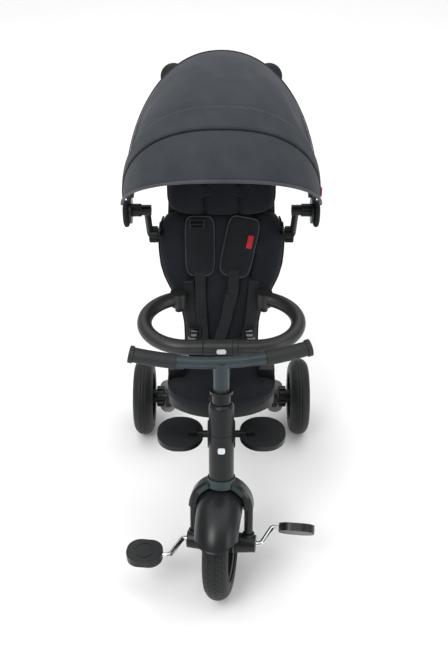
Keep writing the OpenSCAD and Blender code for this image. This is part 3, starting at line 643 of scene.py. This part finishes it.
# %% Headrest cushion
head_low, head_high = 0.400, 0.518
grid = pillow_grid(0.124, 0.020, (head_high - head_low) / 2, 0.55, 0.45, rows=60, cols=180)
x, y, z = grid[..., 0], grid[..., 1], grid[..., 2]
front = smooth_step(-y, 0.004, 0.016)
channel = groove(np.abs(x) - 0.041, 0.0042)
middle_lobe = 0.006 * np.sqrt(np.clip(1 - (x / 0.041) ** 2, 0, 1))
side_lobe = 0.013 * np.sqrt(np.clip(1 - ((np.abs(x) - 0.080) / 0.040) ** 2, 0, 1))
quilting = 0.0007 * np.sin(z * 700) * groove(np.abs(x) - 0.041, 0.010)
fade = np.cos(np.clip(z / 0.059, -1, 1) * 1.2) ** 0.5
swell = (middle_lobe + side_lobe - 0.005 * channel + quilting) * fade
y = y - front * (swell - 0.006)
headrest = piece("headrest_cushion",
                 put(np.stack([x, y - 0.020, z + (head_low + head_high) / 2], -1), back_frame),
                 seat_cloth, "backrest", close_cols=True, closed=True)
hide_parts("headrest_pad")

# %% [markdown]
# ## The seat cushion
# Seen from above, the seat is straight behind and has a broad round front. The cover
# wraps down over the shell, so the cushion's profile goes up its side wall, over a piped
# edge and across a crowned top.

# %% Seat outline and profile
seat_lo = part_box("seat_shell")[0]
seat_mid = np.array([0, seat_lo.y + 0.084])
seat_half_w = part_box("seat_pad")[1].x + 0.004
seat_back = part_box("seat_pad")[1].y - seat_mid[1]
seat_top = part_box("seat_pad")[1].z
seat_low = seat_lo.z + 0.003


def seat_outline(turn):
    """Round front and squarer back: the power of the superellipse changes from 1 to 0.35."""
    back = np.sin(turn) > 0
    power = np.where(back, 0.35, 0.92)
    reach = np.where(back, seat_back, 0.0865)
    return np.stack([seat_half_w * signed_power(np.cos(turn), power),
                     reach * signed_power(np.sin(turn), power)], -1)


def seat_at(turn, rise):
    """A point of the cover: rise runs from 0 at the lower rim to 1 at the middle of the top."""
    wall_end = 0.35
    up = np.clip(rise / wall_end, 0, 1)
    over = np.clip((rise - wall_end) / (1 - wall_end), 0, 1)
    reach = (1 - over) ** 0.9 * (0.97 + 0.03 * np.sin(np.pi * up))
    reach = reach * (0.975 + 0.025 * smooth_step(up, 0, 0.4))
    crown = 0.004 * (1 - (1 - over) ** 2.5) - 0.006 * groove(over, 0.10)
    z = seat_low + (seat_top - 0.004 - seat_low) * np.sin(up * np.pi / 2) ** 0.8 + crown
    flat = seat_outline(turn) * reach[..., None]
    return np.concatenate([flat + seat_mid, z[..., None] + 0 * flat[..., :1]], -1)


turn = np.linspace(0, 2 * np.pi, 180, endpoint=False)[None, :]
rise_s = np.linspace(0, 0.995, 70)[:, None]
grid = seat_at(turn + 0 * rise_s, rise_s + 0 * turn)
seat_cushion = piece("seat_cushion", grid, seat_cloth, "seat", close_cols=True, cap=True)
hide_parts("seat_pad")
rim_turn = np.linspace(0, 2 * np.pi, 200, endpoint=False)
piping_rise = 0.30
swept("seat_piping", seat_at(rim_turn, np.full(200, piping_rise)), ring(0.0022, 0.0022), lining_cloth,
      "seat", closed=True)

# %% [markdown]
# ## The harness
# Two padded sleeves hang over the shoulders, edged with a reflective piping. Webbing
# runs out of each sleeve to the buckle between the legs and to a hip belt on each side.

# %% Shoulder pads
pad_front = -0.036


def shoulder_pad(name, mid_x, mid_h, tilt, half_w, half_l):
    """A flat padded sleeve that leans by tilt in the plane of the backrest."""
    grid = pillow_grid(half_w, 0.0065, half_l, 0.38, 0.55, rows=30, cols=110)
    bow = 0.006 * (grid[..., 0] / half_w) ** 2
    lean = np.radians(tilt)
    x, z = grid[..., 0], grid[..., 2]
    moved = np.stack([mid_x + x * np.cos(lean) + z * np.sin(lean), pad_front + grid[..., 1] + bow,
                      mid_h - x * np.sin(lean) + z * np.cos(lean)], -1)
    made = piece(name, put(moved, back_frame), lining_cloth, "backrest",
                 close_cols=True, closed=True)
    turn = np.linspace(0, 2 * np.pi, 140, endpoint=False)
    x, z = half_w * signed_power(np.cos(turn), 0.38), half_l * signed_power(np.sin(turn), 0.38)
    line = np.stack([mid_x + x * np.cos(lean) + z * np.sin(lean),
                     pad_front - 0.002 + 0.006 * (x / half_w) ** 2,
                     mid_h - x * np.sin(lean) + z * np.cos(lean)], -1)
    swept(name + "_piping", put(line, back_frame), ring(0.0017, 0.0017), piping_cloth, "backrest",
          up=(0, 1, 0.1), closed=True)
    return made


left_pad = shoulder_pad("shoulder_pad_left", -0.050, 0.326, 0, 0.033, 0.073)
shoulder_pad("shoulder_pad_right", 0.042, 0.324, 11, 0.036, 0.074)
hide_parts("shoulder_pads")

# %% [markdown]
# ## Webbing
# Woven polypropylene tape, 25 mm wide and 2 mm thick. Each strap is a flat outline swept
# along a smooth line through a few stops, with its broad side to the child.

# %% Straps of webbing
strap_outline = ring(0.0125, 0.0010, 0.35, 16)


def strap(name, stops, outline=strap_outline, finish=webbing_cloth):
    """Webbing along a smooth line through the stops, given in the backrest's frame; it lies face out."""
    stops = np.array(stops, float)
    t = np.linspace(0, 1, 60)
    places = np.linspace(0, 1, len(stops))
    path = np.stack([smooth_curve(t, places, stops[:, k], blur=22) for k in range(3)], -1)
    path[0], path[-1] = stops[0], stops[-1]
    return swept(name, put(path, back_frame), outline, finish, "backrest",
                 up=back_frame[0] @ [0, 1, 0])


left_strap = strap("shoulder_strap_left", [(-0.050, -0.040, 0.27), (-0.050, -0.037, 0.20),
                                           (-0.046, -0.036, 0.12), (-0.042, -0.040, 0.06)])
strap("shoulder_strap_right", [(0.030, -0.042, 0.27), (0.028, -0.038, 0.215), (0.020, -0.036, 0.17)])
strap("buckle_strap", [(0.022, -0.038, 0.205), (0.012, -0.040, 0.14), (-0.006, -0.046, 0.085),
                       (-0.014, -0.050, 0.060)])
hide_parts("shoulder_straps")
for side_name, sign in (("left", -1), ("right", 1)):
    strap("hip_belt_" + side_name, [(sign * 0.078, -0.027, 0.235), (sign * 0.073, -0.031, 0.16),
                                    (sign * 0.066, -0.036, 0.10), (sign * 0.060, -0.044, 0.062)])
    strap("belt_tail_" + side_name, [(sign * 0.066, -0.040, 0.110), (sign * 0.078, -0.046, 0.07),
                                     (sign * 0.094, -0.050, 0.045)],
          outline=ring(0.009, 0.001, 0.35, 16), finish=grey_webbing)

# %% [markdown]
# ## Adjusters and labels
# Moulded slides set the length of the straps. Two plain red satin labels are sewn on,
# one on a shoulder pad and one on the canopy's side.

# %% Adjusters and the woven labels
def slide_adjuster(name, mid, half_w=0.016, half_h=0.010):
    """A moulded three-bar slide: a frame round a slot, with one bar across its middle."""
    turn = np.linspace(0, 2 * np.pi, 48, endpoint=False)
    line = np.stack([mid[0] + half_w * signed_power(np.cos(turn), 0.35),
                     np.full(48, mid[1]),
                     mid[2] + half_h * signed_power(np.sin(turn), 0.35)], -1)
    swept(name, put(line, back_frame), ring(0.0022, 0.0018, 0.6), black_plastic, "backrest",
          up=(0, 1, 0.1), closed=True)
    bar = np.stack([np.linspace(-half_w, half_w, 6) + mid[0], np.full(6, mid[1] - 0.001),
                    np.full(6, mid[2])], -1)
    swept(name + "_bar", put(bar, back_frame), ring(0.0022, 0.0018, 0.6), black_plastic, "backrest")


slide_adjuster("adjuster_left", (-0.056, -0.0445, 0.384))
slide_adjuster("adjuster_belt_right", (0.066, -0.043, 0.105), 0.013, 0.012)
slide_adjuster("adjuster_belt_left", (-0.064, -0.043, 0.105), 0.013, 0.012)
label = pillow_grid(0.0065, 0.0010, 0.0165, 0.2, 0.4, rows=10, cols=40)
lean = np.radians(11)
label = np.stack([label[..., 0] * np.cos(lean) + label[..., 2] * np.sin(lean) + 0.066,
                  label[..., 1] - 0.0415,
                  label[..., 2] * np.cos(lean) - label[..., 0] * np.sin(lean) + 0.338], -1)
piece("pad_label", put(label, back_frame), tag_cloth, "backrest", close_cols=True, closed=True)
side_label = pillow_grid(0.0024, 0.006, 0.010, 0.3, 0.4, rows=10, cols=40)
label_angle, label_across = 29.0, 82.0
piece("canopy_label", side_label + canopy_at(label_angle, label_across, 0.0028), tag_cloth, "canopy_front",
      close_cols=True, closed=True)

# %% [markdown]
# ## The crotch strap
# This strap comes up through a stitched patch at the front of the seat and ends in the
# buckle. The patch is a small area of the seat's own surface, raised by its thickness.

# %% Crotch strap and the stitched patch it comes through
patch_turn = np.radians(np.linspace(-98, -82, 24))[None, :] - 0.10
patch_rise = np.linspace(0.33, 0.62, 16)[:, None]
patch = seat_at(patch_turn + 0 * patch_rise, patch_rise + 0 * patch_turn) + [0, 0, 0.0022]
piece("strap_patch", patch, webbing_cloth, "seat", thick=0.002)
crotch_lo, crotch_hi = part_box("crotch_strap")
crotch_path = np.stack([np.zeros(24), np.linspace(crotch_lo.y + 0.006, crotch_hi.y - 0.004, 24),
                        np.linspace(crotch_lo.z, crotch_hi.z, 24)], -1)
crotch = swept("crotch_webbing", crotch_path, ring(0.0125, 0.0012, 0.35), webbing_cloth, "seat",
               up=(0, 1, 0.45))
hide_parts("crotch_strap")

# %% [markdown]
# ## Tyres
# The front tyre has a fine block tread, and the rear tyres have smooth shoulders round a
# centre rib. The carcass is a circle of rubber; the tread is pressed into it as grooves,
# with the radius lowered wherever a groove passes.

# %% Tyre surfaces
def tyre_grid(radius, width, around, tread):
    """Rings round the axle: section angle s from bead to bead, wheel angle t, radius lowered by the tread."""
    t = np.linspace(0, 2 * np.pi, around, endpoint=False)[:, None]
    s = np.linspace(-2.05, 2.05, 72)[None, :]
    round_r = width / 2
    lowered = round_r - tread(t, s)
    r = radius - round_r + lowered * np.cos(s)
    x = lowered * np.sin(s)
    return np.stack([x + 0 * r, r * np.sin(t), r * np.cos(t)], -1)


def block_tread(t, s):
    """Staggered rows of small blocks, parted by narrow grooves, fading out at the shoulder."""
    row = np.floor((s + 0.9) / 0.26)
    row_gap = groove(np.abs((s + 0.9) / 0.26 % 1 - 0.5) - 0.5, 0.10)
    block_gap = groove(np.abs((t * 52 / (2 * np.pi) + 0.5 * (row % 2)) % 1 - 0.5) - 0.5, 0.11)
    return 0.0017 * np.maximum(row_gap, block_gap) * (np.abs(s) < 1.05)


def ribbed_tread(t, s):
    """Two grooves beside the centre rib, and fine lines at the shoulders."""
    centre = groove(np.abs(s) - 0.16, 0.05)
    shoulder = 0.6 * groove(np.abs(s) - 0.75, 0.04) + 0.6 * groove(np.abs(s) - 1.15, 0.04)
    return 0.0013 * np.maximum(centre, shoulder) + 0 * t


def tyre_piece(name, node, radius, width, where, body, tread, around):
    """A hollow tyre in place of a node: the surface from bead to bead with a 3 mm wall."""
    grid = tyre_grid(radius, width, around, tread)
    made = piece(name, put(grid, where), tyre_rubber, body, close_rows=True, thick=0.003)
    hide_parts(node)


front_w, rear_w = 0.050, 0.046
tyre_piece("front_tyre_tread", "front_tyre", hub[2], front_w, wheel_frame, "front_wheel", block_tread, 780)
for side_name in ("left", "right"):
    at = np.array(joints["rear_wheel_" + side_name + "_spin"]["pos_m"])
    tyre_piece("rear_tyre_ribbed_" + side_name, "rear_tyre_" + side_name, at[2], rear_w, (np.eye(3), at),
               "rear_wheel_" + side_name, ribbed_tread, 240)

# %% [markdown]
# ## The mudguard
# The mudguard is one moulded shell that curves two ways, over the tyre and round its
# sides. Its front edge dips in the middle like a smile and turns out a little.

# %% Mudguard shell
guard_r, guard_w = 0.137, 0.047
along = np.linspace(0, 1, 90)[:, None]
side_turn = np.linspace(-90, 90, 61)[None, :]
c, s_turn = np.cos(np.radians(side_turn)), np.sin(np.radians(side_turn))
front_end, back_end = 71.0 - 13.0 * np.abs(s_turn) ** 2.2, -23.0
guard_a = back_end + (front_end - back_end) * along
reach = guard_r - 0.038 + 0.038 * c + 0.0012 * smooth_step(along, 0.975, 1.0)
wide = guard_w * s_turn * (1 - 0.05 * smooth_step(along, 0.5, 1.0))
a = np.radians(guard_a)
grid = np.stack([wide + 0 * a, -reach * np.sin(a), reach * np.cos(a)], -1)
mudguard = piece("mudguard_shell", put(grid[:, ::-1], fork_frame), smooth_plastic, "steering",
                 thick=0.0025)
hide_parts("mudguard")

# %% [markdown]
# ## A seam and two painted highlights
# The head housing is moulded in two parts, so a fine dark line runs round it. Each edge of
# the front rim has a thin pale steel ring, a painted highlight for light glinting there.

# %% Seam of the head housing and the painted highlight rings on the rim
head_turn = np.linspace(0, 2 * np.pi, 90)
head_r, rim_half_w, rim_highlight_ring_r = 0.0271, 0.0205, 0.0865
seam_h = 0.262 + 0.003 * np.cos(head_turn)
line = np.stack([head_r * np.sin(head_turn), -head_r * np.cos(head_turn), seam_h], -1)
swept("head_seam", put(line, head_frame), ring(0.0005, 0.0007), lining_cloth, "frame")
# Painted highlight: a pale steel ring on each edge of the front rim stands for light glinting along it
rim_turn = np.linspace(0, 2 * np.pi, 160, endpoint=False)
for side_name, sign in (("left", -1), ("right", 1)):
    line = np.stack([np.full(160, sign * rim_half_w), rim_highlight_ring_r * np.sin(rim_turn),
                     rim_highlight_ring_r * np.cos(rim_turn)], -1)
    swept("rim_highlight_ring_" + side_name, put(line, wheel_frame), ring(0.0011, 0.0011), steel, "front_wheel",
          up=(1, 0, 0), closed=True)

# %% [markdown]
# ## Seams of the bumper bar
# The leatherette sleeve ends in a sewn collar at each side and beside the clasp, so thin
# bands ring the bar there.

# %% Bands round the bumper bar
bar_mid_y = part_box("bumper_left")[0].y + 0.017
bar_mid_z = joints["bumper_left_open"]["pos_m"][2]
band_r = 0.0176
turn_b = np.linspace(0, 2 * np.pi, 48, endpoint=False)
for name, x_at, body in (("clasp_seam_left", -0.041, "bumper_left"),
                         ("clasp_seam_right", 0.024, "bumper_right"),
                         ("clasp_seam_outer", 0.036, "bumper_right")):
    line = np.stack([np.full(48, x_at), bar_mid_y + band_r * np.cos(turn_b),
                     bar_mid_z + band_r * np.sin(turn_b)], -1)
    swept(name, line, ring(0.0010, 0.0010), lining_cloth, body, up=(1, 0, 0), closed=True)
